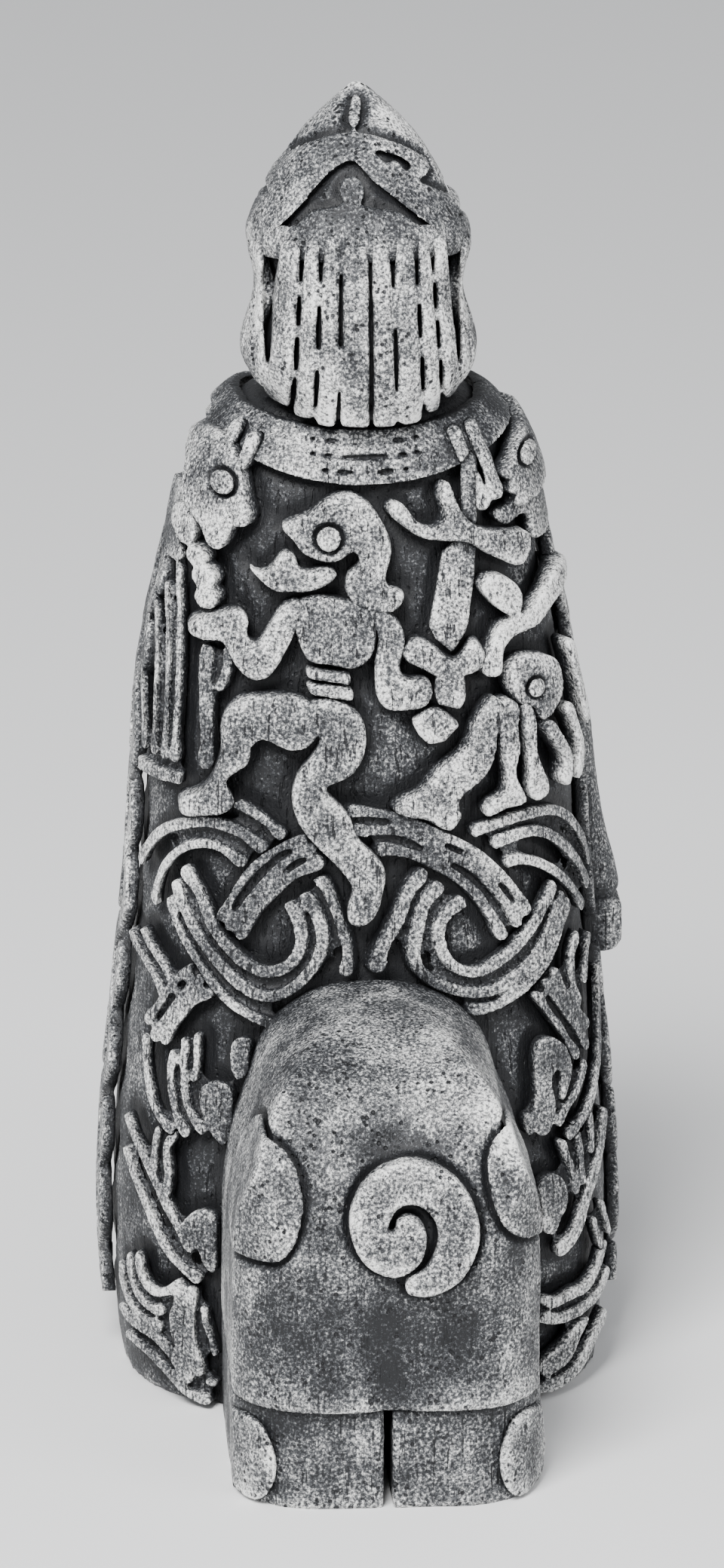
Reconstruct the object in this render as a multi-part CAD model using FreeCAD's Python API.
import FreeCAD, Part
import os
from math import pi, sin, cos, radians, copysign

# A standing figure in a long carved cloak, seated astride a boar.
# Millimetres, +Z up. The origin is at the middle of the footprint on the resting plane.
# The carved back of the cloak and the boar's tail look along -Y, the figure's face along +Y.

# ---- overall sizes ----
cloak_height = 180.0        # resting plane to the flat under the neck
cloak_half_width = 48.0     # widest half width of the cloak, relief included
cloak_back = 46.0           # middle plane to the back of the hem
cloak_front = 40.0          # middle plane to the front of the hem
head_height = 55.0          # top of the cloak to the point of the helmet
helmet_half_width = 18.8    # at the rim
helmet_height = 27.0        # rim's foot to the point
helmet_lean = -5.0          # degrees, point to the back
head_middle = -3.0          # the head's own middle, behind the cloak's
rim_drop = 2.4              # rim below and above the helmet's foot
rim_rise = 3.6
boar_reach = 92.5           # middle plane to the flat of the rump, and to the snout less its disc
boar_half_width = 27.0
boar_height = 80.0

# ---- relief heights, measured from the cloak's ground ----
band_relief = 2.8           # interlaced bands, robes, folds
figure_relief = 4.2         # carved people, sword
detail_relief = 1.1         # eyes and belts, above the figures
helmet_relief = 1.5
lock_relief = 2.6           # hair locks
tail_relief = 3.2
hip_relief = 1.0
plait_cord = 2.2            # each of the two cords in a flank strand
plait_apart = 1.45          # from the strand's middle to each cord's middle
plait_swing = 7.0           # strand's middle to the flank's middle, at its widest
plait_pitch = 15.0          # from crossing to crossing
plait_foot = 12.0           # first and last crossing's outer ends
plait_top = 162.0
lock_gap = 0.55             # half the groove between two hair locks
hock_height = 18.5          # underside of the rump's step
hock_recess = 2.0
snout_disc = 3.2            # thickness of the snout's disc
hock_cleft = 0.9            # half the groove between the hocks
leg_front = 62.0            # middle plane to the front of the forelegs
foreleg_hoof = 8.0          # height of a front hoof
hoof_front = 68.0           # middle plane to the front of the rear hooves
hip_front = 60.0            # middle plane to the front of the hip panels
collar_cords = 4
collar_cord = 1.75          # thickness of one collar cord
collar_pitch = 2.5          # from cord to cord
collar_foot = 168.6         # lowest cord, on the drawn cloak
collar_half = 29.0          # half the collar's run across the back
collar_climb = 0.0100       # rise per millimetre squared from the middle
reach = 400.0               # more than any piece extends

# The outlines below are drawn on a cloak of this size and stretched to the real one.
drawn_height = 180.0
drawn_half_width = 48.0
drawn_back = 46.0
drawn_boar_half_width = 27.0
drawn_boar_height = 80.0
drawn_boar_reach = 90.0
drawn_helmet_half_width = 18.8
drawn_helmet_height = 27.0

Vec = FreeCAD.Vector
os.makedirs("parts", exist_ok=True)

# Shape of the cloak: share of its height, then of its half width, back and front.
cloak_squareness = 2.8
cloak_taper = (
    (0.000, 0.970, 1.000, 1.000),
    (0.070, 0.992, 0.998, 1.000),
    (0.130, 1.000, 0.988, 0.990),
    (0.360, 0.944, 0.915, 0.920),
    (0.617, 0.862, 0.805, 0.800),
    (0.760, 0.800, 0.726, 0.715),
    (0.861, 0.718, 0.650, 0.630),
    (0.940, 0.640, 0.580, 0.560),
    (1.000, 0.470, 0.420, 0.430),
)


def oval(z, half, back, front, squareness, middle=0.0, count=28):
    """A closed smooth wire, rounder as squareness nears 2."""
    points = []
    for i in range(count):
        turn = 2 * pi * i / count
        depth = front if sin(turn) > 0 else back
        x = half * copysign(abs(cos(turn)) ** (2 / squareness), cos(turn))
        y = depth * copysign(abs(sin(turn)) ** (2 / squareness), sin(turn))
        points.append(Vec(x, middle + y, z))
    curve = Part.BSplineCurve()
    even = [i / count for i in range(count + 1)]      # the same knots in every oval of a loft
    curve.interpolate(Points=points, Parameters=even, PeriodicFlag=True)
    return Part.Wire([curve.toShape()])


def cloak_mass(grow):
    rows = []
    for height, width, back, front in cloak_taper:
        rows.append(oval(height * cloak_height, width * cloak_half_width + grow,
                         back * cloak_back + grow, front * cloak_front + grow, cloak_squareness))
    return Part.makeLoft(rows, True, False)


def box(x0, x1, y0, y1, z0, z1):
    return Part.makeBox(x1 - x0, y1 - y0, z1 - z0, Vec(x0, y0, z0))


# ---- outlines on the figure ----
# An outline is a ring of points in space, near the surface that it is carved in.
# It is seen along a bearing: 0 looks at the back, 90 at the right flank, 180 at the front.
far = 140.0


def stretch_cloak(x, z):
    return x * cloak_half_width / drawn_half_width, z * cloak_height / drawn_height


def taper_at(z):
    """Half width, back and front depth of the cloak at a height."""
    share = min(max(z / cloak_height, 0.0), 1.0)
    for low, high in zip(cloak_taper, cloak_taper[1:]):
        if share <= high[0]:
            part = (share - low[0]) / (high[0] - low[0])
            sizes = [a + (b - a) * part for a, b in zip(low, high)]
            return sizes[1] * cloak_half_width, sizes[2] * cloak_back, sizes[3] * cloak_front
    return 0.0, 0.0, 0.0


def depth_share(x, half):
    reach_in = min(abs(x) / half, 0.999)
    return (1 - reach_in ** cloak_squareness) ** (1 / cloak_squareness)


def on_back(x, z):
    x, z = stretch_cloak(x, z)
    half, back, front = taper_at(z)
    return Vec(x, -back * depth_share(x, half), z)


def on_front(x, z):
    x, z = stretch_cloak(x, z)
    half, back, front = taper_at(z)
    return Vec(x, front * depth_share(x, half), z)


def on_flank(side):
    def place(y, z):
        y, z = y * cloak_back / drawn_back, z * cloak_height / drawn_height
        half, back, front = taper_at(z)
        return Vec(side * half * depth_share(y, front if y > 0 else back), y, z)
    return place


def on_boar(x, z):
    return Vec(x * boar_half_width / drawn_boar_half_width, -boar_reach,
               z * boar_height / drawn_boar_height)


def flat(x, z):
    return Vec(x, 0, z)


def bearing_axes(bearing):
    turn = radians(bearing)
    return Vec(cos(turn), sin(turn), 0), Vec(sin(turn), -cos(turn), 0)


def leaf(points, place=on_back):
    """A smooth ring."""
    return {"ring": [place(*p) for p in points], "smooth": True}


def plate(points, place=on_back):
    """A ring with corners."""
    return {"ring": [place(*p) for p in points], "smooth": False}


def disc(x, z, radius, place=on_back, tall=1.0):
    return leaf([(x + radius * cos(k * pi / 4), z + tall * radius * sin(k * pi / 4))
                 for k in range(8)], place)


def strand(points, width, place=on_back, tips=(0.55, 0.55), bearing=0, shift=0.0):
    """A cord's ring: half its width each side of a smooth line, narrower at the two tips.
    A shift moves the whole cord to one side of its line."""
    across, outward = bearing_axes(bearing)
    line = Part.BSplineCurve()
    line.interpolate([place(*p) for p in points])
    length = line.length()
    steps = max(4, int(round(length / 4.0)))
    one_side, other_side = [], []
    for i in range(steps + 1):
        at = line.parameterAtDistance(length * i / steps, line.FirstParameter)
        here = line.value(at)
        along = line.tangent(at)[0]
        aside = along.cross(outward)
        aside.normalize()
        half = width / 2 * (tips[0] if i == 0 else tips[1] if i == steps else 1.0)
        one_side.append(here + aside * (shift + half))
        other_side.append(here + aside * (shift - half))
    return {"ring": one_side + other_side[::-1], "smooth": True}


def face_of(outline, bearing):
    """The outline as a flat face, far out along a bearing."""
    across, outward = bearing_axes(bearing)
    flat_points = [across * p.dot(across) + outward * far + Vec(0, 0, p.z)
                   for p in outline["ring"]]
    if outline["smooth"]:
        curve = Part.BSplineCurve()
        curve.interpolate(Points=flat_points, PeriodicFlag=True)
        return Part.Face(Part.Wire([curve.toShape()]))
    return Part.Face(Part.makePolygon(flat_points + [flat_points[0]]))


def bar_of(outline, bearing=0, length=far):
    """The outline run inwards from far out, as a bar."""
    outward = bearing_axes(bearing)[1]
    return face_of(outline, bearing).extrude(outward * -length)


# ---- raising outlines from a ground ----
taken = []


def near(one, other):
    """Whether two rings stand close enough to touch."""
    boxes = []
    for outline in (one, other):
        bound = FreeCAD.BoundBox()
        for p in outline["ring"]:
            bound.add(p)
        bound.enlarge(1.0)
        boxes.append(bound)
    return boxes[0].intersect(boxes[1])


def carve(outlines, shell, bearing=0, covers=True, respect=True, least=0.6):
    """Raise outlines out of a shell, each clear of those raised before it."""
    inwards = bearing_axes(bearing)[1] * -far
    solids = []
    for outline in outlines:
        face = face_of(outline, bearing)
        if respect:
            for other in taken:
                if near(outline, other):
                    face = face.cut(face_of(other, bearing))
        for flat_face in face.Faces:
            cut = shell.common(flat_face.extrude(inwards))
            solids += [s for s in cut.Solids if s.Volume > least]
        if covers:
            taken.append(outline)
    return solids


nodes = {}


def keep(name, shapes, least=0.5):
    solids = []
    for shape in shapes:
        solids += [s for s in shape.Solids if s.Volume > least]
    if not solids:
        raise ValueError("nothing left of " + name)
    nodes[name] = solids[0] if len(solids) == 1 else Part.makeCompound(solids)


# ---- cloak ----
core = cloak_mass(-band_relief)
band_skin = cloak_mass(0.0)
figure_skin = cloak_mass(figure_relief - band_relief)
detail_skin = cloak_mass(figure_relief - band_relief + detail_relief)
low = band_skin.cut(core)
high = figure_skin.cut(core)
details = detail_skin.cut(figure_skin)
keep("cloak_body", [core])

# ---- boar's rump: where an arch, a side profile and a plan meet ----
def boar_side(y, z):
    return Vec(-far, y * boar_reach / drawn_boar_reach, z * boar_height / drawn_boar_height)


def boar_plan(x, y):
    return Vec(x * boar_half_width / drawn_boar_half_width, y * boar_reach / drawn_boar_reach, -10)


def smooth_bar(points, run):
    """A smooth ring of points run along a vector."""
    curve = Part.BSplineCurve()
    curve.interpolate(Points=points, PeriodicFlag=True)
    return Part.Face(Part.Wire([curve.toShape()])).extrude(run)


arch = leaf([(-26.5, -2), (-26.6, 20), (-26.4, 38), (-25.5, 50), (-23.4, 58.5), (-21.6, 63.5),
             (-19.4, 70), (-15.5, 75), (-9, 78.8), (0.3, 80), (9.6, 78.7), (16, 74.8),
             (19.9, 70), (22.3, 63), (24.6, 57.5), (26.6, 48), (27, 36), (27, 20), (27, -2),
             (0, -6)], on_boar)
side_bar = smooth_bar([boar_side(*p) for p in (
    (-20, 80), (-50, 80), (-66, 77.5), (-77, 72), (-84.5, 63), (-88.6, 51), (-90, 38), (-90, 20),
    (-90, -2), (-50, -8), (-10, -2), (-8, 60))], Vec(2 * far, 0, 0))
plan_bar = smooth_bar([boar_plan(*p) for p in (
    (-34, -20), (-33, -60), (-27.5, -76), (-24, -83.5), (-17, -88.8), (-8, -90), (0.5, -90),
    (9, -90), (18, -88.8), (24.7, -83.5), (28, -76), (33, -60), (34, -20), (0, -8))],
    Vec(0, 0, 140))
rump_all = bar_of(arch).common(side_bar).common(plan_bar).cut(core)
above_hocks = box(-reach, reach, -reach, reach, hock_height, reach)
rump = rump_all.common(above_hocks)
keep("boar_rump", [rump])
inner_plan = plan_bar.translated(Vec(0, hock_recess, 0))
hooves, hocks = [], {}
for side, sign in (("left", -1), ("right", 1)):
    inner, outer = sorted((sign * hock_cleft, sign * reach))
    below = box(inner, outer, -reach, reach, 0, hock_height)
    foot = leaf([(sign * 21.0, 13.2), (sign * 24.2, 15.6), (sign * 27.6, 14.0),
                 (sign * 28.5, 8.0), (sign * 27.0, 2.0), (sign * 23.6, 0.6), (sign * 20.6, 3.4),
                 (sign * 19.7, 8.4)], on_boar)
    hoof = bar_of(foot, 0, far - hoof_front).common(rump_all).common(below)
    hooves.append(hoof)
    keep("hock_" + side, [rump_all.common(below).common(inner_plan).cut(hoof)])
keep("rear_hooves", hooves)

# smooth oval panels on the haunches, and the curled tail, all proud of the rump
hip_rings = (
    (-1, leaf([(-26.9, 66.0), (-21.5, 67.0), (-17.2, 64.2), (-15.0, 58.5), (-15.4, 52.5),
               (-18.4, 47.0), (-22.6, 44.8), (-27.2, 45.5), (-30.0, 55.0)], on_boar)),
    (1, leaf([(26.9, 68.0), (21.5, 68.2), (18.0, 64.8), (17.5, 59.0), (19.6, 52.5),
              (23.6, 48.8), (27.2, 48.0), (30.0, 57.0)], on_boar)))
hips = []
for sign, ring in hip_rings:
    lifted = rump.translated(Vec(sign * hip_relief * 0.7, -hip_relief, hip_relief * 0.3))
    panel = bar_of(ring, 0, far - hip_front).common(lifted).cut(rump_all)
    hips.append(panel)
keep("hip_panels", hips)
tail_ring = leaf([(3.4, 41.2), (7.5, 41.0), (11.6, 43.2), (14.6, 47.5), (15.4, 52.0),
                  (14.3, 56.6), (11.0, 60.8), (6.0, 63.2), (0.8, 63.0), (-4.0, 60.2),
                  (-6.6, 55.2), (-6.0, 49.6), (-3.0, 45.7), (1.0, 44.4), (4.2, 45.9),
                  (6.0, 49.0), (6.1, 52.0), (4.6, 54.0), (2.6, 54.4), (1.4, 53.4), (0.9, 51.8),
                  (-0.1, 51.9), (-0.1, 54.0), (1.6, 56.2), (4.6, 56.6), (7.4, 54.8),
                  (8.5, 51.4), (7.8, 48.0), (5.7, 45.1), (3.0, 43.2)], on_boar)
raised_rump = rump.translated(Vec(0, -tail_relief, 0))
keep("tail_curl", [bar_of(tail_ring, 0, far - hip_front).common(raised_rump).cut(rump)])
taken.append(arch)

# ---- carved people on the back ----
def left_strand(points, width, tips=(0.55, 0.55)):
    return strand(points, width, on_back, tips, -28)


def right_strand(points, width, tips=(0.55, 0.55)):
    return strand(points, width, on_back, tips, 28)


hero_eye = disc(-6.8, 159.2, 2.0)
hero_helmet = leaf([(-14.6, 161.4), (-12.4, 162.4), (-10.0, 163.4), (-7.6, 165.2), (-3.6, 166.6),
                    (-0.4, 165.4), (2.6, 161.6), (4.1, 157.4), (3.2, 153.2), (3.4, 150.6),
                    (6.2, 149.4), (5.4, 147.0), (1.4, 146.4), (-2.2, 147.8), (-3.8, 150.6),
                    (-3.0, 153.0), (-1.2, 155.0), (-2.2, 156.8), (-4.6, 155.6), (-8.4, 155.4),
                    (-11.6, 157.0), (-13.4, 159.4)])
hero_moustache = leaf([(-20.4, 153.6), (-18.5, 152.9), (-16.2, 154.4), (-14.4, 156.5),
                       (-12.9, 156.0), (-12.2, 154.0), (-9.4, 153.4), (-7.4, 153.8), (-5.6, 152.9),
                       (-7.6, 151.0), (-10.4, 150.0), (-14.0, 149.9), (-17.6, 150.8)])
hero_right_arm = leaf([(0.6, 146.6), (3.4, 145.9), (5.6, 143.8), (6.3, 141.0), (5.6, 138.0),
                       (5.6, 135.4), (7.4, 134.2), (10.0, 134.2), (11.2, 132.0), (9.8, 129.8),
                       (6.8, 129.2), (3.0, 129.6), (1.6, 131.8), (1.2, 135.0), (1.4, 138.0),
                       (2.0, 141.0), (1.2, 143.8)])
hero_left_arm = leaf([(-12.8, 148.2), (-14.8, 147.2), (-16.8, 144.4), (-18.4, 141.8),
                      (-19.8, 140.6), (-21.4, 141.6), (-21.2, 144.4), (-22.2, 145.9),
                      (-24.6, 145.8), (-27.2, 144.9), (-29.6, 143.8), (-31.2, 141.4),
                      (-28.4, 140.4), (-25.6, 140.6), (-24.2, 138.4), (-22.4, 135.8),
                      (-20.2, 134.4), (-18.2, 134.8), (-16.2, 137.0), (-14.4, 140.0),
                      (-13.0, 143.0)])
hero_torso = leaf([(-12.4, 148.0), (-9.0, 148.8), (-3.0, 148.0), (0.4, 146.8), (1.2, 143.6),
                   (1.0, 140.2), (-0.6, 137.6), (-3.0, 136.6), (-7.0, 137.3), (-10.4, 138.0),
                   (-11.6, 139.8), (-12.6, 142.8)])
hero_belts = [plate([(-11.0, 136.5), (-3.4, 135.4), (-3.4, 133.8), (-10.6, 134.9)]),
              plate([(-11.0, 133.9), (-3.0, 132.7), (-2.8, 131.0), (-10.2, 132.1)])]
hero_front_leg = leaf([(-11.6, 131.2), (-15.0, 131.8), (-19.6, 131.4), (-23.6, 130.0),
                       (-25.4, 127.4), (-25.9, 124.4), (-25.9, 121.0), (-26.8, 118.2),
                       (-28.0, 115.6), (-30.8, 113.1), (-33.0, 111.4), (-33.0, 109.2),
                       (-29.4, 109.4), (-25.4, 110.6), (-24.0, 112.4), (-25.4, 115.4),
                       (-23.6, 117.9), (-21.4, 119.8), (-20.8, 122.6), (-19.0, 124.0),
                       (-15.6, 122.8), (-11.4, 122.6), (-9.4, 124.8), (-9.6, 128.6)])
hero_back_leg = leaf([(-9.2, 130.9), (-4.6, 130.2), (-1.6, 127.8), (-0.7, 124.0), (-1.6, 120.2),
                      (-4.4, 117.2), (-7.8, 115.3), (-6.2, 112.8), (-3.6, 109.8), (-2.6, 106.8),
                      (0.2, 103.6), (2.4, 100.6), (2.2, 97.0), (1.0, 93.0), (-1.2, 90.9),
                      (-3.4, 91.2), (-3.8, 94.0), (-3.0, 97.2), (-4.8, 100.4), (-8.0, 103.8),
                      (-11.2, 107.2), (-13.2, 111.4), (-13.4, 115.2), (-11.6, 119.0),
                      (-9.4, 122.0), (-8.6, 126.0)])
sword_blade = plate([(17.0, 159.0), (17.1, 171.6), (18.4, 172.8), (19.8, 171.4), (19.5, 158.6),
                     (18.9, 152.0), (17.9, 144.0), (17.3, 141.8), (15.0, 138.6), (12.1, 141.0),
                     (11.0, 143.2), (12.2, 149.0), (13.4, 155.6)])
sword_guard = leaf([(6.5, 139.6), (8.6, 141.3), (10.8, 140.4), (12.8, 138.6), (15.0, 137.4),
                    (16.8, 138.6), (18.6, 140.6), (20.4, 138.6), (21.0, 136.8), (19.2, 135.4),
                    (15.8, 134.8), (12.0, 135.0), (9.4, 136.4)])
sword_grip = plate([(12.0, 134.2), (16.8, 134.2), (17.1, 130.8), (16.2, 129.0), (12.4, 129.9),
                    (11.8, 131.6)])
sword_pommel = plate([(7.7, 127.0), (10.6, 129.0), (12.9, 128.7), (15.8, 126.0), (13.4, 123.4),
                      (10.6, 123.0), (8.8, 124.8)])
foe_arm = leaf([(14.1, 168.0), (15.2, 165.2), (16.8, 162.2), (19.2, 160.2), (23.0, 158.9),
                (26.6, 158.4), (28.6, 157.4), (28.4, 154.0), (27.2, 152.6), (24.2, 153.8),
                (20.6, 155.8), (17.8, 157.6), (13.6, 158.3), (9.6, 159.0), (6.4, 161.0),
                (3.8, 164.3), (4.9, 165.1), (7.4, 162.6), (10.4, 160.6), (12.8, 160.8),
                (13.6, 163.2), (12.9, 166.4)])
foe_elbow = leaf([(20.2, 150.6), (22.6, 151.4), (25.2, 150.2), (27.2, 147.0), (26.4, 144.0),
                  (24.0, 145.0), (21.2, 147.6)])
foe_sleeve = leaf([(21.2, 134.2), (23.0, 134.4), (23.6, 138.2), (25.8, 140.6), (29.6, 141.6),
                   (33.6, 144.6), (36.2, 148.6), (34.4, 149.8), (31.2, 146.6), (27.4, 143.9),
                   (23.4, 142.4), (21.2, 138.6)])
foe_face = leaf([(31.8, 176.0), (28.6, 174.8), (26.2, 172.4), (25.2, 169.8), (23.6, 168.2),
                 (25.2, 166.8), (25.0, 165.2), (26.4, 164.4), (26.2, 163.2), (29.2, 163.0),
                 (32.4, 164.6), (34.0, 168.0), (33.8, 172.4)])
foe_beard = leaf([(23.2, 161.9), (26.0, 162.5), (29.4, 162.3), (32.6, 163.4), (33.2, 160.0),
                  (31.6, 155.4), (30.0, 156.4), (29.6, 159.6), (26.8, 160.2), (24.6, 159.7)])
foe_front_leg = leaf([(20.2, 128.8), (22.6, 130.0), (23.0, 127.4), (22.2, 123.6), (21.6, 120.0),
                      (20.2, 117.0), (17.0, 114.4), (15.4, 112.4), (15.6, 109.4), (14.0, 107.6),
                      (10.6, 109.2), (6.6, 110.1), (4.4, 111.2), (5.8, 113.0), (9.4, 114.8),
                      (12.0, 118.0), (15.4, 120.6), (17.8, 123.8)])
foe_back_leg = leaf([(24.4, 129.8), (26.2, 128.0), (26.0, 124.6), (26.3, 120.6), (25.7, 116.0),
                     (27.0, 113.2), (27.6, 111.4), (24.0, 110.5), (20.4, 109.8), (20.8, 111.4),
                     (23.8, 113.0), (24.2, 116.0), (23.4, 120.4), (23.0, 124.4), (22.9, 127.6)])
foe_robe = leaf([(28.0, 128.4), (29.2, 126.0), (29.4, 121.4), (30.8, 116.0), (31.6, 111.9),
                 (29.2, 111.3), (28.2, 115.4), (27.8, 121.6)])
beast_head = leaf([(25.2, 135.6), (27.4, 136.8), (30.4, 136.4), (33.4, 134.2), (34.2, 130.4),
                   (33.0, 127.0), (30.2, 125.4), (29.2, 127.6), (27.0, 128.4), (25.2, 131.0)])
beast_jaw = [right_strand([(31.0, 124.0), (33.6, 120.6), (35.2, 116.6), (34.8, 112.6)], 2.2),
             right_strand([(34.8, 126.0), (36.8, 121.8), (37.8, 117.0), (37.2, 112.8)], 1.8),
             right_strand([(35.8, 136.6), (37.0, 132.0), (38.0, 127.0), (39.2, 121.0)], 2.0)]
side_face = leaf([(-29.8, 170.0), (-28.7, 173.4), (-25.8, 175.2), (-22.6, 174.4), (-21.3, 171.4),
                  (-20.9, 168.0), (-20.3, 164.6), (-19.9, 162.2), (-20.8, 160.8), (-22.8, 160.4),
                  (-23.8, 158.6), (-25.2, 156.4), (-27.0, 156.8), (-28.2, 159.6), (-30.6, 162.6),
                  (-30.6, 166.6)])
side_eye = disc(-25.2, 167.9, 1.9)
beads = [disc(-30.9, 158.8, 1.7, tall=1.8), disc(-29.2, 154.2, 1.6), disc(-28.0, 151.0, 1.9),
         disc(-27.7, 147.6, 1.8)]
gown = [left_strand([(-25.0, 139.4), (-25.4, 134.0), (-26.6, 131.4)], 1.9),
        left_strand([(-28.6, 139.0), (-28.6, 131.0), (-28.4, 124.0), (-28.8, 117.4)], 3.0)]
pleats = [left_strand([(-33.2 - 1.9 * k, 151.0 - 4.0 * k), (-33.2 - 1.8 * k, 136.0),
                  (-33.8 - 1.7 * k, 122.0), (-34.2 - 1.6 * k, 117.2)], 1.5) for k in range(4)]
gown_cuff = plate([(-33.0, 115.9), (-40.0, 115.3), (-40.2, 112.8), (-33.2, 113.4)])
shoulder_fold = leaf([(-33.6, 163.4), (-31.8, 160.0), (-32.8, 156.4), (-32.0, 153.0),
                      (-34.2, 151.4), (-35.8, 154.4), (-36.0, 158.6), (-35.2, 162.4)])

keep("hero_head", carve([hero_moustache, hero_helmet], high))
keep("hero_arms", carve([hero_left_arm, hero_right_arm], high))
keep("hero_torso", carve(hero_belts + [hero_torso], high))
keep("hero_legs", carve([hero_front_leg, hero_back_leg], high))
keep("foe_arms", carve([foe_arm, foe_sleeve, foe_elbow], high, 20))
keep("sword_hilt", carve([sword_guard, sword_grip, sword_pommel], high))
keep("sword_blade", carve([sword_blade], low))
keep("foe_head", carve([foe_beard], low, 32) + carve([foe_face], high, 32))
keep("foe_legs", carve([foe_front_leg, foe_back_leg, foe_robe], high, 20))
keep("beast_head", carve([beast_head] + beast_jaw, high, 32))
keep("side_face", carve([side_face], high, -28))
keep("hair_beads", carve(beads, high, -28))
keep("gown_pleats", carve(gown + [gown_cuff] + pleats + [shoulder_fold], low, -32))
keep("carved_eyes", carve([hero_eye, side_eye, disc(29.6, 170.6, 1.5), disc(30.2, 131.2, 1.4)],
                          details, respect=False, covers=False))

# ---- collar ----
def collar_lines(place, bearing):
    """Cords around the top of the cloak, climbing towards the shoulders."""
    cords = []
    for k in range(collar_cords):
        points = []
        for i in range(-4, 5):
            x = collar_half * i / 4.0
            points.append((x, collar_foot + collar_pitch * k + collar_climb * x * x * (1 - 0.12 * k)))
        cords.append(strand(points, collar_cord, place, bearing=bearing))
    return cords


knots = [strand([(15.2, 176.6), (18.6, 170.0), (20.8, 163.0)], 2.0),
         strand([(18.4, 177.2), (21.6, 170.6), (23.4, 164.6)], 2.0),
         strand([(-29.6, 166.0), (-25.4, 170.4), (-21.0, 177.4)], 1.9, bearing=-28),
         strand([(-26.8, 164.8), (-22.4, 169.4), (-18.4, 176.0)], 1.9, bearing=-28)]
keep("collar_knots", carve(knots[:2], high) + carve(knots[2:], high, -28))
keep("collar_back", carve(collar_lines(on_back, 0), low))

# ---- interlace: three ridges to a band ----
ridge = 1.75
left_arch = [
    left_strand([(-24.0, 111.4), (-20.6, 110.4), (-17.6, 108.2), (-15.4, 106.0)], ridge),
    left_strand([(-40.3, 96.5), (-38.6, 101.5), (-35.4, 105.3), (-31.0, 107.4), (-26.6, 107.8),
            (-22.4, 106.4), (-18.4, 103.6)], 2.2),
    left_strand([(-37.9, 90.5), (-37.2, 96.0), (-34.6, 100.8), (-31.0, 103.5), (-27.4, 103.8),
            (-24.4, 102.4), (-22.2, 100.8)], ridge)]
left_cross = [
    left_strand([(-11.4, 106.4), (-16.0, 104.2), (-19.8, 101.5), (-22.6, 98.2), (-25.0, 94.0),
            (-26.8, 90.4)], ridge, tips=(0.9, 0.5)),
    left_strand([(-9.9, 104.7), (-14.4, 102.2), (-18.0, 98.9), (-21.0, 95.3), (-23.4, 92.0),
            (-25.4, 88.9)], ridge, tips=(0.9, 0.5)),
    left_strand([(-8.8, 102.4), (-12.4, 100.2), (-16.4, 97.3), (-19.8, 93.6), (-22.2, 90.0),
            (-23.6, 87.6)], 2.1, tips=(0.9, 0.5))]
left_loop = [
    left_strand([(-15.0, 94.4), (-13.2, 91.8), (-12.4, 88.4), (-13.4, 84.8), (-16.6, 82.2),
            (-20.6, 82.4), (-24.6, 85.2), (-27.6, 88.6), (-29.4, 92.8), (-31.6, 96.8),
            (-33.2, 98.8)], 2.3),
    left_strand([(-12.4, 96.0), (-9.8, 92.6), (-8.7, 88.4), (-9.6, 84.4), (-12.4, 80.6),
            (-17.4, 77.6), (-22.4, 78.8), (-27.0, 82.8), (-30.8, 87.6), (-33.2, 92.0),
            (-34.4, 96.2)], 2.2),
    left_strand([(-10.0, 98.8), (-7.2, 95.4), (-5.6, 91.0), (-4.4, 86.4), (-4.8, 81.2)], ridge),
    left_strand([(-17.0, 73.2), (-22.6, 74.4), (-27.2, 78.0), (-31.2, 83.4), (-34.4, 89.0),
            (-35.4, 93.0)], ridge)]
left_tail_band = [
    left_strand([(-31.8, 81.6), (-35.0, 77.6), (-37.4, 73.4), (-39.8, 69.0)], ridge),
    left_strand([(-29.8, 80.6), (-32.4, 77.2), (-34.8, 73.4), (-36.9, 69.8), (-38.6, 66.4)], 2.0),
    left_strand([(-28.0, 78.3), (-30.6, 76.0), (-33.4, 72.6), (-35.6, 69.0), (-36.9, 66.4)], ridge)]
left_edge_band = [
    left_strand([(-40.4, 85.0), (-38.0, 82.0), (-36.2, 79.6), (-34.6, 76.0)], ridge),
    left_strand([(-42.4, 83.0), (-39.4, 79.4), (-37.4, 76.6), (-36.2, 74.2)], ridge)]
left_hook = [
    left_strand([(-40.1, 66.6), (-39.6, 61.0), (-38.8, 56.0), (-37.2, 52.8), (-34.8, 51.2)], ridge),
    left_strand([(-35.2, 65.6), (-35.5, 61.0), (-35.0, 56.4), (-33.8, 52.6), (-32.4, 50.8)], ridge),
    left_strand([(-33.4, 68.2), (-33.2, 62.6), (-32.8, 57.6), (-31.2, 53.8), (-29.4, 51.9)], ridge),
    left_strand([(-31.2, 69.6), (-31.0, 65.0), (-31.6, 60.8)], 1.4)]
left_hook_leaf = leaf([(-30.6, 58.8), (-29.6, 60.8), (-27.2, 61.6), (-24.9, 60.4), (-24.6, 56.6),
                       (-25.0, 52.0), (-26.4, 49.9), (-28.0, 51.2), (-29.6, 54.2)])
left_lump = leaf([(-25.0, 68.0), (-23.6, 69.8), (-21.8, 69.8), (-21.6, 66.6), (-22.2, 63.2),
                  (-23.6, 62.2), (-25.2, 65.0)])
left_low_cross = [
    left_strand([(-34.6, 51.0), (-36.2, 46.6), (-36.0, 42.6), (-36.6, 39.2)], 1.9),
    left_strand([(-37.6, 51.2), (-38.2, 46.4), (-38.4, 42.6)], ridge)]
left_low_diagonal = [
    left_strand([(-43.2, 50.6), (-40.4, 45.4), (-38.2, 41.2), (-35.9, 36.6), (-33.6, 32.4),
            (-31.8, 29.8)], 2.0),
    left_strand([(-43.4, 44.6), (-41.0, 39.0), (-38.6, 33.4), (-35.8, 28.4), (-32.8, 25.8),
            (-30.6, 24.6)], 2.0)]
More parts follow.
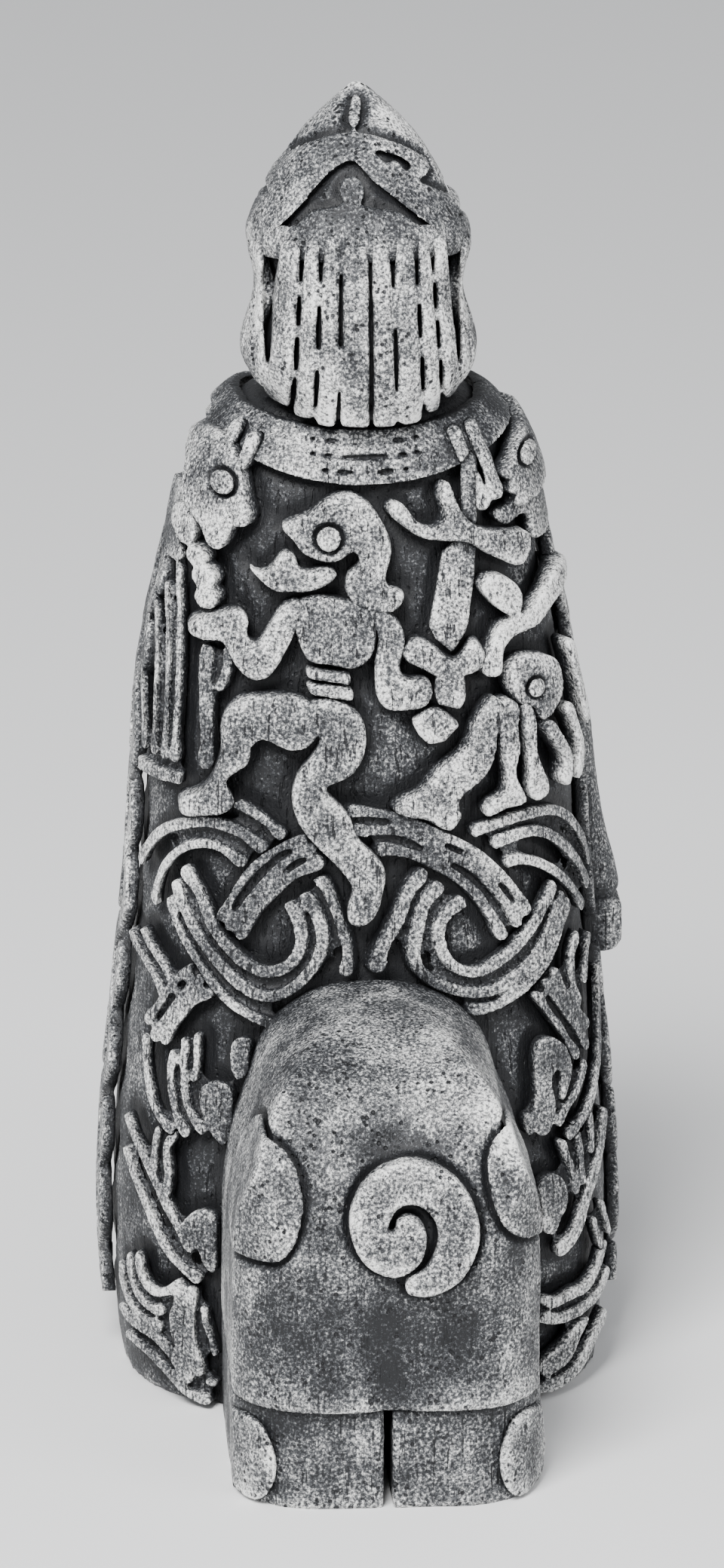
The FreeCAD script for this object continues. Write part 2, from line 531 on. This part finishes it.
left_low_leaf = leaf([(-33.9, 34.2), (-32.4, 36.6), (-30.2, 37.8), (-27.9, 37.2), (-27.5, 34.0),
                      (-27.6, 29.6), (-28.6, 26.2), (-29.8, 27.0), (-31.4, 30.8)])
left_foot_curl = [
    left_strand([(-41.5, 26.6), (-41.0, 22.8), (-39.0, 20.5), (-36.6, 21.2), (-33.8, 23.6)], 1.9),
    left_strand([(-43.1, 25.4), (-42.4, 20.2), (-40.2, 17.4), (-37.0, 17.5)], ridge),
    left_strand([(-44.5, 23.0), (-43.8, 17.8), (-41.4, 14.8), (-37.4, 14.2)], ridge)]
left_foot_leaf = leaf([(-35.4, 20.0), (-34.0, 22.4), (-31.8, 23.2), (-31.5, 18.6), (-31.6, 14.4),
                       (-30.6, 10.0), (-30.4, 6.6), (-32.2, 6.0), (-34.4, 9.0), (-35.9, 13.6),
                       (-36.2, 17.2)])
left_hem_sweep = [
    left_strand([(-44.6, 14.6), (-41.6, 12.8), (-38.0, 11.6), (-35.4, 8.8), (-32.6, 4.6)], 2.4),
    left_strand([(-43.6, 9.4), (-39.6, 8.2), (-36.4, 5.8), (-33.4, 3.0), (-29.0, 2.2)], 2.0),
    left_strand([(-30.4, 19.8), (-29.7, 16.4), (-28.8, 13.4), (-28.1, 10.6)], 1.4),
    left_strand([(-29.8, 5.6), (-28.6, 5.4), (-27.9, 5.2)], 1.5)]

right_band = [
    right_strand([(-3.2, 110.4), (0.6, 110.6), (4.0, 110.0), (9.4, 108.0), (13.4, 105.9),
            (17.4, 104.0), (20.6, 101.4), (24.0, 98.0), (26.8, 94.2), (28.8, 90.2)], 1.9,
           tips=(0.9, 0.5)),
    right_strand([(-3.6, 107.2), (1.0, 107.4), (7.0, 106.8), (11.0, 104.4), (15.6, 101.9),
            (19.8, 99.0), (22.8, 95.4), (25.4, 91.8), (26.9, 88.4)], 2.0, tips=(0.9, 0.5)),
    right_strand([(1.9, 103.5), (6.4, 103.4), (10.2, 101.9), (14.0, 99.7), (17.6, 97.0), (20.6, 93.2),
            (22.8, 89.6), (24.2, 86.4)], 2.1, tips=(0.9, 0.5))]
right_arch = [
    right_strand([(18.7, 105.8), (22.0, 107.2), (26.0, 108.0), (30.4, 108.3), (34.4, 107.4),
            (37.8, 104.0), (40.2, 99.0), (41.6, 94.0)], 2.1),
    right_strand([(22.6, 103.4), (26.0, 104.8), (30.0, 105.0), (33.8, 103.0), (36.8, 99.6),
            (39.2, 95.6), (41.0, 90.6)], 2.2),
    right_strand([(24.8, 99.6), (28.0, 100.2), (31.4, 98.8), (34.8, 96.0), (37.6, 92.4),
            (39.9, 87.6)], 2.0)]
right_loop = [
    right_strand([(33.7, 95.0), (32.0, 91.2), (29.6, 87.8), (26.2, 84.6), (22.2, 82.2), (18.0, 81.2),
            (14.6, 83.0), (12.6, 86.6), (12.8, 90.2), (15.2, 93.2), (17.2, 94.4)], 2.2),
    right_strand([(35.6, 92.4), (33.2, 87.8), (30.4, 82.6), (26.2, 79.4), (20.8, 77.4), (15.0, 78.4),
            (10.4, 80.6), (8.0, 84.6), (8.6, 89.2), (10.2, 94.2), (13.2, 97.4)], 2.2),
    right_strand([(9.9, 100.2), (7.2, 96.0), (5.0, 91.0), (2.6, 86.6), (1.2, 81.8)], 2.2),
    right_strand([(36.6, 91.0), (34.8, 86.0), (31.8, 80.6), (27.4, 77.0), (21.6, 74.6),
            (17.6, 74.6)], 2.0)]
right_tail_band = [
    right_strand([(29.6, 75.8), (32.4, 72.2), (34.6, 68.8), (36.6, 65.0), (38.2, 62.0)], ridge),
    right_strand([(31.4, 77.8), (34.2, 73.8), (36.6, 70.0), (38.8, 66.0), (40.2, 62.6)], 2.0),
    right_strand([(33.2, 79.4), (35.8, 74.6), (38.2, 70.4), (40.4, 66.4)], ridge)]
right_edge_band = [
    right_strand([(38.6, 84.0), (37.2, 79.6), (37.6, 74.6), (38.8, 71.2)], 1.9),
    right_strand([(41.2, 82.4), (40.2, 78.4), (39.8, 74.4)], ridge),
    right_strand([(43.0, 75.0), (42.8, 66.0), (42.0, 57.4), (39.8, 51.8), (35.6, 48.6)], 2.0)]
right_hook_leaf = leaf([(30.2, 65.8), (31.8, 67.5), (34.0, 66.8), (36.3, 64.0), (36.9, 60.4),
                        (36.0, 57.0), (34.9, 55.2), (34.6, 58.4), (34.2, 61.0), (33.2, 60.4),
                        (33.5, 56.4), (33.4, 52.6), (31.2, 49.6), (29.2, 51.6), (29.6, 55.6),
                        (29.9, 60.6)])
right_hook = [right_strand([(28.6, 54.4), (28.3, 52.0), (29.0, 50.4)], 1.2),
              right_strand([(39.2, 61.2), (38.2, 56.8), (35.6, 53.6), (33.8, 51.0)], ridge)]
right_low_cross = [
    right_strand([(36.8, 50.6), (38.0, 47.0), (38.4, 43.0), (38.8, 38.8)], 1.8),
    right_strand([(40.2, 51.2), (40.6, 47.0), (40.4, 43.6)], ridge),
    right_strand([(34.4, 48.2), (35.8, 44.8), (37.0, 41.0), (37.4, 37.4)], 1.6)]
right_low_diagonal = [
    right_strand([(43.2, 50.0), (42.8, 45.4), (41.4, 40.8), (39.8, 36.6), (38.4, 32.6), (36.4, 29.2),
            (33.8, 28.0)], 2.8),
    right_strand([(42.6, 33.6), (43.6, 30.0), (44.6, 26.4)], 1.7),
    right_strand([(41.0, 31.6), (42.0, 28.0), (43.0, 25.0)], 1.7)]
right_low_leaf = leaf([(30.4, 40.0), (31.8, 42.4), (34.0, 42.2), (35.6, 39.6), (35.6, 35.8),
                       (34.4, 33.6), (33.4, 31.4), (31.6, 31.8), (31.0, 35.6)])
right_foot_curl = [
    right_strand([(31.0, 19.6), (33.6, 18.4), (36.4, 19.0), (39.6, 19.2), (42.4, 22.4),
            (43.6, 26.0)], 2.2),
    right_strand([(30.8, 15.8), (34.4, 15.2), (38.6, 15.4), (42.0, 16.6), (44.4, 20.2)], 2.4)]
right_foot_leaf = leaf([(30.8, 7.6), (32.2, 8.8), (35.4, 10.8), (38.0, 13.2), (40.4, 13.2),
                        (38.6, 9.8), (36.8, 6.6), (34.0, 5.0), (31.2, 4.9)])
right_hem_sweep = [
    right_strand([(30.6, 2.4), (34.6, 2.8), (38.2, 4.4), (41.4, 8.4), (44.2, 11.4)], 2.8)]

left_bearing, right_bearing = -28, 28
keep("left_cross_band", carve(left_cross, low, left_bearing))
keep("left_arch_band", carve(left_arch, low, left_bearing))
keep("left_loop_band", carve(left_loop, low, left_bearing))
keep("left_tail_band", carve(left_tail_band + left_edge_band, low, left_bearing))
keep("left_hook", carve([left_hook_leaf, left_lump] + left_hook, low, left_bearing))
keep("left_low_band", carve(left_low_diagonal + left_low_cross + [left_low_leaf], low,
                            left_bearing))
keep("left_foot_curl", carve([left_foot_leaf] + left_foot_curl + left_hem_sweep, low,
                             left_bearing))
keep("right_cross_band", carve(right_band, low, right_bearing))
keep("right_arch_band", carve(right_arch, low, right_bearing))
keep("right_loop_band", carve(right_loop, low, right_bearing))
keep("right_tail_band", carve(right_tail_band + right_edge_band, low, right_bearing))
keep("right_hook", carve([right_hook_leaf] + right_hook, low, right_bearing))
keep("right_low_band", carve(right_low_diagonal + right_low_cross + [right_low_leaf], low,
                             right_bearing))
keep("right_foot_curl", carve([right_foot_leaf] + right_foot_curl + right_hem_sweep, low,
                              right_bearing))

# ---- helmet ----
# Heights are taken from the rim's lower edge, then the whole helmet leans back a little.
helmet_shape = (   # share of its height, then of its half width, back and front
    (0.000, 1.000, 1.100, 0.960),
    (0.120, 0.960, 1.060, 0.930),
    (0.250, 0.880, 0.960, 0.860),
    (0.430, 0.750, 0.800, 0.740),
    (0.600, 0.610, 0.640, 0.600),
    (0.770, 0.410, 0.430, 0.400),
    (0.910, 0.190, 0.200, 0.190),
    (1.000, 0.035, 0.035, 0.035),
)
helmet_foot = cloak_height + head_height - helmet_height


def lean(shape):
    shape = shape.copy()
    shape.rotate(Vec(0, head_middle, helmet_foot), Vec(1, 0, 0), helmet_lean)
    return shape


def helmet_mass(grow):
    rows = []
    for share, width, back, front in helmet_shape:
        rows.append(oval(helmet_foot + share * helmet_height, width * helmet_half_width + grow,
                         back * helmet_half_width + grow, front * helmet_half_width + grow,
                         2.3, head_middle))
    return lean(Part.makeLoft(rows, True, False))


def on_helmet(x, z):
    """Outlines on the helmet's back are drawn from its rim's lower edge upwards."""
    return Vec(x * helmet_half_width / drawn_helmet_half_width, -far,
               helmet_foot + z * helmet_height / drawn_helmet_height)


helmet_core = helmet_mass(0.0)
helmet_shell = helmet_mass(helmet_relief).cut(helmet_core)
rim_rows = [oval(helmet_foot + height, helmet_half_width + grow, helmet_half_width * 1.1 + grow,
                 helmet_half_width * 0.96 + grow, 2.3, head_middle)
            for height, grow in ((-rim_drop, 0.2), (rim_drop * 0.3, 1.0), (rim_rise, 0.1))]
rim_all = lean(Part.makeLoft(rim_rows, True, False))
keep("helmet_cap", [helmet_core])
helmet_rim = rim_all.cut(helmet_core)
keep("helmet_rim", [helmet_rim])


def helmet_strand(points, width, tips=(0.55, 0.55)):
    return strand(points, width, on_helmet, tips)


helmet_cords = [
    helmet_strand([(-18.6, 2.6), (-15.6, 6.2), (-11.6, 10.4), (-7.8, 14.4), (-4.2, 17.0),
                   (-1.2, 17.4), (2.0, 14.9), (6.6, 11.2), (11.8, 7.2), (17.4, 2.6)], 3.6),
    helmet_strand([(-15.6, 8.6), (-13.2, 13.0), (-9.0, 16.8), (-2.2, 19.2), (4.2, 18.0),
                   (8.8, 15.8), (11.6, 12.8)], 2.0),
    helmet_strand([(4.6, 15.2), (9.0, 11.8), (14.0, 8.6), (17.6, 5.4)], 1.6),
    helmet_strand([(-17.6, 6.4), (-14.4, 9.0), (-11.4, 13.2), (-8.6, 15.6)], 1.5),
    helmet_strand([(-1.4, 21.0), (-0.8, 23.2), (-0.2, 25.2)], 2.2),
    disc(9.6, 13.6, 1.3, on_helmet)]
knob = disc(-2.0, 11.2, 2.3, on_helmet)
tufts = [knob]
for k in range(8):
    end = -11.6 + 3.05 * k
    start = -2.1 + (end + 2.1) * 0.42
    tufts.append(helmet_strand([(start, 9.6 - 0.18 * abs(end + 2)), ((start + end) / 2 - 0.2, 6.6),
                                (end, 3.4)], 2.1, (0.5, 1.0)))
tufts += [helmet_strand([(11.6 + 2.0 * k, 3.6), (12.6 + 1.6 * k, 5.4)], 1.3) for k in range(2)]
raised_before = len(taken)
keep("helmet_bands", [s.cut(helmet_rim) for s in carve(helmet_cords, helmet_shell)])
keep("helmet_tufts", [s.cut(helmet_rim) for s in carve(tufts, helmet_shell)])
del taken[raised_before:]

# ---- head, hair and beard ----
def head_mass(rows, squareness):
    """A loft of rows of height over the cloak, half width, back and front depth."""
    return Part.makeLoft([oval(cloak_height + height, half, back, front, squareness, head_middle)
                          for height, half, back, front in rows], True, False)


under_helmet = [helmet_core, helmet_rim]
head_top = head_height - helmet_height + 4.0
head_rows = ((-3.0, 11.0, 9.0, 13.0), (3.0, 12.6, 9.0, 15.4), (9.0, 14.4, 9.0, 17.6),
             (17.0, 15.8, 9.0, 18.6), (25.0, 16.2, 9.0, 18.4), (head_top, 16.2, 9.0, 17.6))
head = head_mass(head_rows, 2.3).cut(core)
for part in under_helmet:
    head = head.cut(part)
head = max(head.Solids, key=lambda solid: solid.Volume)
keep("head", [head])
hair_rows = ((-1.6, 15.4, 23.6, 6.0), (3.0, 18.6, 24.6, 6.0), (7.5, 20.8, 25.2, 6.0),
             (14.0, 19.8, 24.8, 6.0), (21.0, 18.4, 23.6, 6.0), (head_top, 17.4, 21.6, 6.0))
hair_outer = head_mass(hair_rows, 2.5)
hair_inner = head_mass([(h, a - lock_relief, b - lock_relief, f - 0.6)
                        for h, a, b, f in hair_rows], 2.5)
for part in under_helmet + [head, core, band_skin]:
    hair_outer = hair_outer.cut(part)
keep("hair_core", [hair_outer.common(hair_inner)])
hair_shell = hair_outer.cut(hair_inner)
locks = []
edges = (-17.6, -12.7, -8.9, -4.8, 1.0, 5.6, 10.5, 13.9, 17.6)
for left_edge, right_edge in zip(edges, edges[1:]):
    low_z = cloak_height - 2.4 + 4.0 * (abs(left_edge + right_edge) / 35.0) ** 2
    locks.append((0, plate([(left_edge * 0.84 + lock_gap, cloak_height + head_top),
                            (left_edge + lock_gap, low_z + 0.4), (left_edge + lock_gap + 0.9, low_z),
                            (right_edge - lock_gap - 0.9, low_z), (right_edge - lock_gap, low_z + 0.4),
                            (right_edge * 0.84 - lock_gap, cloak_height + head_top)], flat)))
for side in (-1, 1):
    for k in range(4):
        bearing = side * 78
        outer = 17.0 - 6.4 * k
        low_z = cloak_height + 2.2 + 1.0 * k
        across = bearing_axes(bearing)[0]

        def beside(y, z, across=across, side=side):
            return across * (-y * side * -1) + Vec(0, 0, z)

        locks.append((bearing, plate([(-outer, cloak_height + head_top), (-outer, low_z),
                                      (-outer + 5.3, low_z), (-outer + 5.3, cloak_height + head_top)],
                                     beside)))
lock_solids = []
back_zone = box(-17.4, 17.4, -reach, head_middle - 8.0, 0, reach)
for bearing, ring in locks:
    cut = bar_of(ring, bearing).common(hair_shell)
    lock_solids.append(cut.common(back_zone) if bearing == 0 else cut.cut(back_zone))
keep("hair_locks", lock_solids)

beard_rows = ((-26.0, 2.4, 6.0, 31.0), (-20.0, 5.4, 6.0, 33.0), (-10.0, 9.6, 6.0, 30.0),
              (-2.0, 11.4, 6.0, 25.0), (6.0, 12.0, 6.0, 22.0), (11.0, 9.0, 6.0, 19.5))
beard_outer = head_mass(beard_rows, 2.2).cut(figure_skin.common(box(-reach, reach, -reach, 0, 0, reach)))
beard_outer = beard_outer.cut(core).cut(head)
beard_front = beard_outer.common(box(-reach, reach, head_middle + 8.0, reach, 0, reach))
beard = []
for k in range(7):
    top = -9.6 + 3.2 * k
    foot = top * 0.42
    ring = strand([(top, cloak_height + 12.0), (top * 1.05, cloak_height - 4.0),
                   (foot * 1.4, cloak_height - 17.0), (foot, cloak_height - 27.0)], 2.7, flat,
                  (1.0, 0.9), 180)
    beard.append(bar_of(ring, 180).common(beard_front))
keep("beard", beard)
whiskers = []
for sign in (-1, 1):
    ring = strand([(sign * 0.9, cloak_height + 13.6), (sign * 4.6, cloak_height + 13.0),
                   (sign * 8.6, cloak_height + 9.0), (sign * 12.0, cloak_height + 6.0)], 3.2,
                  flat, (0.9, 0.3), 180)
    proud = head_mass([(h, a + 3.0, b, f + 4.0) for h, a, b, f in head_rows], 2.3)
    whisker = bar_of(ring, 180, far - head_middle).common(proud).cut(head).cut(beard_outer)
    whiskers.append(whisker)
keep("moustache", whiskers)
nose_points = [Vec(0, head_middle + 15.0, cloak_height + 13.8),
               Vec(0, head_middle + 23.4, cloak_height + 14.6),
               Vec(0, head_middle + 22.6, cloak_height + 16.8),
               Vec(0, head_middle + 19.2, cloak_height + 24.4),
               Vec(0, head_middle + 15.0, cloak_height + 24.6)]
nose_slab = Part.Face(Part.makePolygon(nose_points + [nose_points[0]])).extrude(Vec(5.0, 0, 0))
nose_slab.translate(Vec(-2.5, 0, 0))
nose = nose_slab.cut(head)
for part in under_helmet + whiskers:
    nose = nose.cut(part)
keep("nose", [nose])

# ---- front of the cloak ----
def front_strand(points, width, tips=(0.7, 0.7), bearing=180):
    return strand(points, width, on_front, tips, bearing)


arm_path = ((28.5, 3.0, 150.0, 6.0), (33.0, 3.0, 128.0, 6.0), (36.6, 3.0, 112.0, 6.4),
            (38.2, 3.0, 100.0, 6.2), (40.6, 2.6, 90.0, 6.2), (41.8, 2.2, 84.0, 6.2))
arm_rows = []
for x, y, z, radius in arm_path:
    x, z = stretch_cloak(x, z)
    arm_rows.append(Part.Wire([Part.Circle(Vec(x, y, z), Vec(0.05, 0, -1), radius).toShape()]))
side_limit = box(-reach, cloak_half_width, -reach, reach, 0, reach)
sleeve = Part.makeLoft(arm_rows, True, False).cut(core).common(side_limit)
fist_x, fist_z = stretch_cloak(42.0, 80.0)
fist_box = box(fist_x - 8.0, cloak_half_width, -6.0, 9.0, fist_z - 5.6, arm_rows[-1].BoundBox.ZMin)
fist_box = fist_box.makeFillet(2.6, [e for e in fist_box.Edges
                                     if abs(e.CenterOfMass.x - cloak_half_width) < 0.1])
fist = fist_box.cut(core)
keep("right_arm", [sleeve, fist.cut(sleeve)])
arm_zone = sleeve.fuse(fist)

left_path = ((-25.0, 5.0, 158.0, 6.0), (-29.0, 7.0, 146.0, 6.6), (-30.5, 13.0, 134.0, 7.4),
             (-28.0, 23.5, 126.5, 7.4), (-20.0, 30.5, 125.5, 6.8), (-12.5, 33.5, 130.0, 6.0))
left_rows = []
for k, (x, y, z, radius) in enumerate(left_path):
    after = left_path[min(k + 1, len(left_path) - 1)]
    before = left_path[max(k - 1, 0)]
    x, z = stretch_cloak(x, z)
    along = Vec(after[0] - before[0], after[1] - before[1], after[2] - before[2])
    left_rows.append(Part.Wire([Part.Circle(Vec(x, y, z), along, radius).toShape()]))
left_sleeve = Part.makeLoft(left_rows, True, False).cut(core)
fist_x, fist_z = stretch_cloak(-10.4, 134.0)
left_fist = Part.makeSphere(6.4, Vec(fist_x, 34.0, fist_z)).cut(core).cut(left_sleeve)
for part in nodes["beard"].Solids:
    left_fist = left_fist.cut(part)
    left_sleeve = left_sleeve.cut(part)
keep("left_arm", [left_sleeve, left_fist], 100.0)

# front collar, the cloak's two edges and the folds of the robe between them
front_zone = box(-reach, reach, 0, reach, 0, reach)
front_low = low.common(front_zone)
cords = []
for k in range(collar_cords):
    points = []
    for i in range(-4, 5):
        x = 26.0 * i / 4.0
        points.append((x, collar_foot + collar_pitch * k + collar_climb * x * x * (1 - 0.12 * k)))
    cords.append(front_strand(points, collar_cord))
edges_front = []
for sign in (-1, 1):
    for k in range(2):
        x = sign * (15.0 + 3.0 * k)
        edges_front.append(front_strand([(x * 0.62, 166.4), (x * 0.86, 150.0), (x, 128.0),
                                         (x * 1.06, 106.0), (x * 1.12, 86.0)], 2.2))
    for k in range(2):
        x = sign * (31.5 + 3.2 * k)
        edges_front.append(front_strand([(x * 0.93, 82.0), (x * 0.98, 60.0), (x, 34.0),
                                         (x * 0.99, 4.0)], 2.4, bearing=180 - sign * 30))
robe_folds = [front_strand([(-9.0 + 4.5 * k, 112.0), (-10.0 + 5.0 * k, 98.0),
                            (-11.0 + 5.5 * k, 86.5)], 1.9) for k in range(5)]
belt = [front_strand([(-12.6, 118.6), (0.0, 117.4), (12.6, 118.6)], 2.6, (1.0, 1.0)),
        front_strand([(-12.4, 114.9), (0.0, 113.7), (12.4, 114.9)], 2.6, (1.0, 1.0))]
blocked = [nodes[name] for name in ("beard", "left_arm")]


def clear_of_arms(solids):
    out = []
    for solid in solids:
        for block in blocked:
            if solid.BoundBox.intersect(block.BoundBox):
                solid = solid.cut(block)
        out.append(solid)
    return out


keep("collar_front", clear_of_arms(carve(cords, front_low, 180)))
upper_edges = [ring for ring in edges_front if max(p.z for p in ring["ring"]) > 100]
keep("cloak_edges", clear_of_arms(carve(upper_edges, front_low, 180)))
keep("robe_folds", clear_of_arms(carve(robe_folds + belt, front_low, 180)))

# ---- plaits down both flanks: two double cords that cross over and under ----
flank_solids = []
crossings = int((plait_top - plait_foot) / plait_pitch)
for side in (-1, 1):
    place = on_flank(side)
    bearing = side * 90
    for n in range(crossings):
        middle = plait_foot + plait_pitch * (n + 0.5)
        slant = 1 if n % 2 else -1

        def run(first, last, way, middle=middle, place=place, bearing=bearing):
            """Two cords side by side along part of a crossing, from -1 to 1."""
            points = []
            for i in range(6):
                share = first + (last - first) * i / 5.0
                points.append((way * plait_swing * sin(pi / 2 * share),
                               middle + plait_pitch / 2 * share))
            return [strand(points, plait_cord, place, (1.0, 1.0), bearing, shift)
                    for shift in (-plait_apart, plait_apart)]

        over = run(-1.0, 1.0, slant)
        under = run(-1.0, -0.40, -slant) + run(0.40, 1.0, -slant)
        flank_solids += carve(over + under, low, bearing, covers=False)
flank_clear = []
for solid in flank_solids:
    if solid.BoundBox.intersect(arm_zone.BoundBox):
        solid = solid.cut(arm_zone)
    flank_clear += solid.Solids
keep("flank_plaits", flank_clear)

# ---- front of the boar ----
def boar_place(x, y, z):
    """A point drawn on the boar, on the real one."""
    return Vec(x * boar_half_width / drawn_boar_half_width, y * boar_reach / drawn_boar_reach,
               z * boar_height / drawn_boar_height)


head_arch = smooth_bar([boar_place(x, 0, z)
                        for x, z in ((-22, -2), (-23.5, 16), (-25.5, 38), (-24.5, 58), (-19, 73),
                                     (-10, 80.5), (0, 82.5), (10, 80.5), (19, 73), (24.5, 58),
                                     (25.5, 38), (23.5, 16), (22, -2), (0, -6))], Vec(0, far, 0))
head_side = smooth_bar([boar_place(-far, y, z)
                        for y, z in ((0, 84), (34, 84), (48, 83), (60, 78), (70, 68), (78, 57),
                                     (86, 50), (89.6, 45), (90, 36), (88, 28), (80, 24),
                                     (70, 20.5), (64, 19), (40, 20), (0, 20), (-4, 50))],
                       Vec(2 * far, 0, 0))
head_plan = smooth_bar([boar_place(x, y, -10)
                        for x, y in ((-30, 0), (-29, 34), (-26, 50), (-21, 62), (-14.5, 72),
                                     (-11, 81), (-9.4, 88), (-5, 90.2), (5, 90.2), (9.4, 88),
                                     (11, 81), (14.5, 72), (21, 62), (26, 50), (29, 34), (30, 0),
                                     (0, -6))], Vec(0, 0, 140))
boar_head = head_arch.common(head_side).common(head_plan).cut(core)
legs = []
for sign in (-1, 1):
    def leg_box(inner, outer, front, foot, top, sign=sign):
        """One block of a foreleg, its front corners rounded."""
        one, two = sorted((sign * inner, sign * outer))
        wide = boar_half_width / drawn_boar_half_width
        block = box(one * wide, two * wide, 10.0, front, foot, top)
        return block.makeFillet(3.0, [e for e in block.Edges
                                      if abs(e.CenterOfMass.y - front) < 0.1
                                      and abs(e.CenterOfMass.z - (foot + top) / 2) < 0.1])

    hoof = leg_box(2.0, 23.0, leg_front + hock_recess, 0.0, foreleg_hoof)
    for cleft in (9.0, 16.0):
        x = sign * cleft
        hoof = hoof.cut(box(x - hock_cleft / 2, x + hock_cleft / 2, leg_front - 1.0, reach, -1.0,
                            reach))
    legs.append(hoof.cut(core))
    legs.append(leg_box(3.2, 21.8, leg_front, foreleg_hoof, 30.0).cut(core).cut(boar_head))
keep("forelegs", legs)
keep("boar_head", [boar_head])
snout_middle = boar_place(0, 0, 37.5).z
snout = Part.makeCylinder(9.6, snout_disc + 4.0, Vec(0, boar_reach - 4.0, snout_middle), Vec(0, 1, 0))
snout = snout.makeFillet(1.0, [e for e in snout.Edges
                               if abs(e.CenterOfMass.y - boar_reach - snout_disc) < 0.1])
for sign in (-1, 1):
    nostril = Part.makeCylinder(2.1, 2.2, Vec(sign * 4.2, boar_reach + snout_disc - 2.0,
                                              snout_middle + 0.6), Vec(0, 1, 0))
    snout = snout.cut(nostril)
keep("boar_snout", [snout.cut(boar_head)])
tusks, ears, eyes = [], [], []
for sign in (-1, 1):
    route = ((9.0, 78.0, 29.0, 3.2), (13.0, 82.0, 31.0, 3.0), (14.8, 84.5, 36.5, 2.4),
             (14.2, 84.0, 42.5, 1.6), (12.8, 82.0, 46.5, 0.7))
    wires = []
    for k, (x, y, z, radius) in enumerate(route):
        after, before = route[min(k + 1, 4)], route[max(k - 1, 0)]
        along = Vec(sign * (after[0] - before[0]), after[1] - before[1], after[2] - before[2])
        wires.append(Part.Wire([Part.Circle(boar_place(sign * x, y, z), along, radius).toShape()]))
    tusks.append(Part.makeLoft(wires, True, False).cut(boar_head).cut(nodes["boar_snout"]))
    ear_rows = ((15.5, 52.0, 66.0, 6.2), (18.4, 50.0, 74.0, 6.6), (20.4, 47.6, 82.0, 4.4),
                (21.4, 46.0, 89.0, 0.9))
    ear_wires = [Part.Wire([Part.Ellipse(boar_place(sign * x, y, z), radius, max(radius * 0.5, 0.6))
                            .toShape()]) for x, y, z, radius in ear_rows]
    ears.append(Part.makeLoft(ear_wires, True, False).cut(boar_head).cut(figure_skin))
    eye = Part.makeSphere(3.4, boar_place(sign * 17.2, 66.5, 55.5))
    eyes.append(eye.cut(boar_head))
keep("boar_tusks", [max(t.Solids, key=lambda b: b.Volume) for t in tusks])
keep("boar_ears", [max(t.Solids, key=lambda b: b.Volume) for t in ears])
keep("boar_eyes", eyes)
mane = []
for k in range(7):
    y = boar_place(0, 43.0 + 4.2 * k, 0).y
    top = boar_place(0, 0, 90.5 - 0.55 * k - 0.16 * k * k).z
    blade = box(-2.0, 2.0, y, y + 3.4, top - 30.0, top)
    blade = blade.makeFillet(1.5, [e for e in blade.Edges if e.CenterOfMass.z > top - 0.1
                                   and abs(e.CenterOfMass.x) > 1.9])
    mane.append(blade.cut(boar_head).cut(figure_skin))
keep("boar_mane", mane)
for name in ("robe_folds", "cloak_edges"):
    keep(name, [s.cut(boar_head).cut(Part.makeCompound(nodes["boar_mane"].Solids))
                for s in nodes[name].Solids])
lower_edges = [ring for ring in edges_front if max(p.z for p in ring["ring"]) < 100]
lower_solids = []
for ring in lower_edges:
    bearing = 150 if ring["ring"][0].x > 0 else -150
    lower_solids += [s.cut(boar_head) for s in carve([ring], front_low, bearing)]
keep("cloak_edges", nodes["cloak_edges"].Solids + lower_solids)

for name, shape in nodes.items():
    shape.exportStep("parts/" + name + ".step")
print(len(nodes), "nodes")
